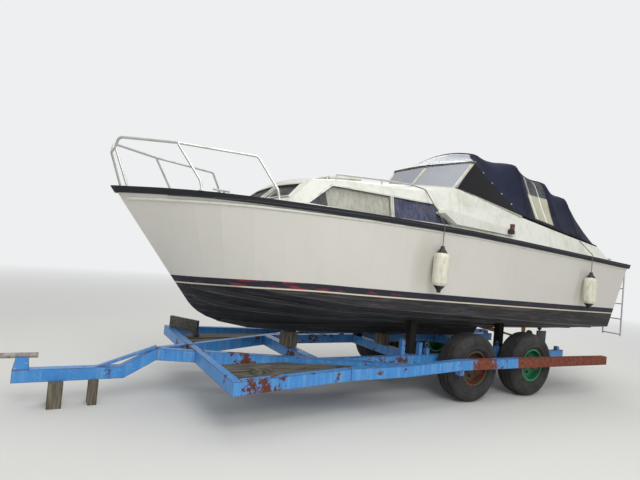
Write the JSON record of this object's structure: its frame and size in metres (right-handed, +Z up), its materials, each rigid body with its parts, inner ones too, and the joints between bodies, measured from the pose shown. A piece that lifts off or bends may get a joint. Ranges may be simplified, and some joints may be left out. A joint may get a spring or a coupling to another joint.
{
  "type": "cabin motor cruiser on a launching trailer",
  "caption": "Small cabin motor cruiser with a folding canopy, laid up on a rusty four-wheeled launching trailer.",
  "frame": {"origin": "on the ground under the middle of the boat and its trailer", "axes": "+X towards the bow and the drawbar, +Y to port, +Z up"},
  "size_m": [8.5101, 2.69, 3.2239],
  "materials": {
    "hull_paint": "weathered gelcoat over navy boot-top and worn antifouling",
    "deck_gelcoat": "weathered satin",
    "strake": "weathered",
    "cabin_gelcoat": "weathered satin with stains",
    "hatch": "weathered satin",
    "cabin_glass": "dusty",
    "window_trim": "dull anodised",
    "curtain": "soft",
    "bulkhead": "satin",
    "door": "varnished",
    "black_track": "matt",
    "liner": "satin",
    "helm": "satin",
    "cushion": "woven",
    "screen_frame": "dull anodised, dirty",
    "screen_glass": "dusty",
    "canopy_cloth": "woven, faded",
    "clear_vinyl": "cloudy soft sheet",
    "stainless": "polished, dull with weather",
    "cleat": "worn",
    "lamp": "gloss",
    "fender": "weathered",
    "rope": "laid rope",
    "bronze": "dull",
    "rudder": "antifouled",
    "engine": "satin",
    "rail_paint": "weathered blue paint with rust",
    "frame_paint": "weathered blue paint with rust",
    "tow_steel": "rusty",
    "timber": "weathered grey",
    "dark_timber": "damp dark",
    "axle_steel": "rusty",
    "tyre": "worn and dusty",
    "rim": "rusty dark paint"
  },
  "bodies": {
    "craft": {"hull": "hull_paint", "deck": "deck_gelcoat", "rubbing_strake": "strake", "cabin": "cabin_gelcoat", "front_windows": "cabin_glass", "side_windows": "cabin_glass", "window_trims": "window_trim", "curtains": "curtain", "bulkhead": "bulkhead", "coaming": "cabin_gelcoat", "canopy_track": "black_track", "cockpit_liner": "liner", "dash": "liner", "seat_boxes": "liner", "cushions": "cushion", "windscreen_frame": "screen_frame", "windscreen_glass": "screen_glass", "canopy": "canopy_cloth", "canopy_windows": "clear_vinyl", "canopy_hoops": "stainless", "pulpit": "stainless", "grab_rails": "stainless", "mooring_cleats": "cleat", "nav_lamps": "lamp", "fenders": "fender", "shaft_gear": "bronze", "engine": "engine", "ladder_brackets": "stainless", "fender_rope_fore_port": "rope", "fender_rope_fore_starboard": "rope", "fender_rope_aft_port": "rope", "fender_rope_aft_starboard": "rope", "side_rails": "rail_paint", "cross_beams": "frame_paint", "a_frame": "frame_paint", "inner_beams": "frame_paint", "drawbar": "frame_paint", "tow_tube": "tow_steel", "prop_blocks": "timber", "axles": "axle_steel", "keel_blocks": "timber", "lashing_posts": "frame_paint", "bilge_chocks": "dark_timber", "boards": "timber"},
    "wheel_front_port": {"tyre_front_port": "tyre", "rim_front_port": "rim"},
    "wheel_front_starboard": {"tyre_front_starboard": "tyre", "rim_front_starboard": "rim"},
    "wheel_rear_port": {"tyre_rear_port": "tyre", "rim_rear_port": "rim"},
    "wheel_rear_starboard": {"tyre_rear_starboard": "tyre", "rim_rear_starboard": "rim"},
    "propeller": {"propeller": "bronze"},
    "rudder": {"rudder": "rudder"},
    "helm": {"helm_wheel": "helm"},
    "companion_door": {"companion_door": "door"},
    "roof_hatch": {"roof_hatch": "hatch"},
    "boarding_ladder": {"boarding_ladder": "stainless"}
  },
  "joints": [
    {"name": "wheel_front_port_spin", "type": "hinge", "parent": "craft", "child": "wheel_front_port", "pos_m": [-0.965, 0.884, 0.412], "axis": [0, 1, 0], "continuous": true},
    {"name": "wheel_front_starboard_spin", "type": "hinge", "parent": "craft", "child": "wheel_front_starboard", "pos_m": [-0.965, -0.884, 0.412], "axis": [0, 1, 0], "continuous": true},
    {"name": "wheel_rear_port_spin", "type": "hinge", "parent": "craft", "child": "wheel_rear_port", "pos_m": [-2.053, 0.884, 0.412], "axis": [0, 1, 0], "continuous": true},
    {"name": "wheel_rear_starboard_spin", "type": "hinge", "parent": "craft", "child": "wheel_rear_starboard", "pos_m": [-2.053, -0.884, 0.412], "axis": [0, 1, 0], "continuous": true},
    {"name": "propeller_spin", "type": "hinge", "parent": "craft", "child": "propeller", "pos_m": [-3.3275, 0, 0.52874], "axis": [0.9806, 0, 0.1959], "continuous": true},
    {"name": "rudder_turn", "type": "hinge", "parent": "craft", "child": "rudder", "pos_m": [-3.61106, 0, 0.68234], "axis": [-0.0227, 0, 0.9997], "range_deg": [-35, 35]},
    {"name": "helm_turn", "type": "hinge", "parent": "craft", "child": "helm", "pos_m": [-0.77499, -0.5925, 2.12206], "axis": [-0.8771, 0, 0.4802], "range_deg": [-540, 540]},
    {"name": "door_swing", "type": "hinge", "parent": "craft", "child": "companion_door", "pos_m": [-0.51182, 0.257, 1.85296], "axis": [0.0227, 0, -0.9997], "range_deg": [0, 110]},
    {"name": "hatch_lift", "type": "hinge", "parent": "craft", "child": "roof_hatch", "pos_m": [0.86821, 0, 2.54311], "axis": [0, 1, 0], "range_deg": [0, 100]},
    {"name": "ladder_fold", "type": "hinge", "parent": "craft", "child": "boarding_ladder", "pos_m": [-4.23881, 0.825, 1.89841], "axis": [0, 1, 0], "range_deg": [0, 165]}
  ],
  "couplings": [
    {"joint": "helm_turn", "follows": "rudder_turn", "ratio": 15}
  ]
}
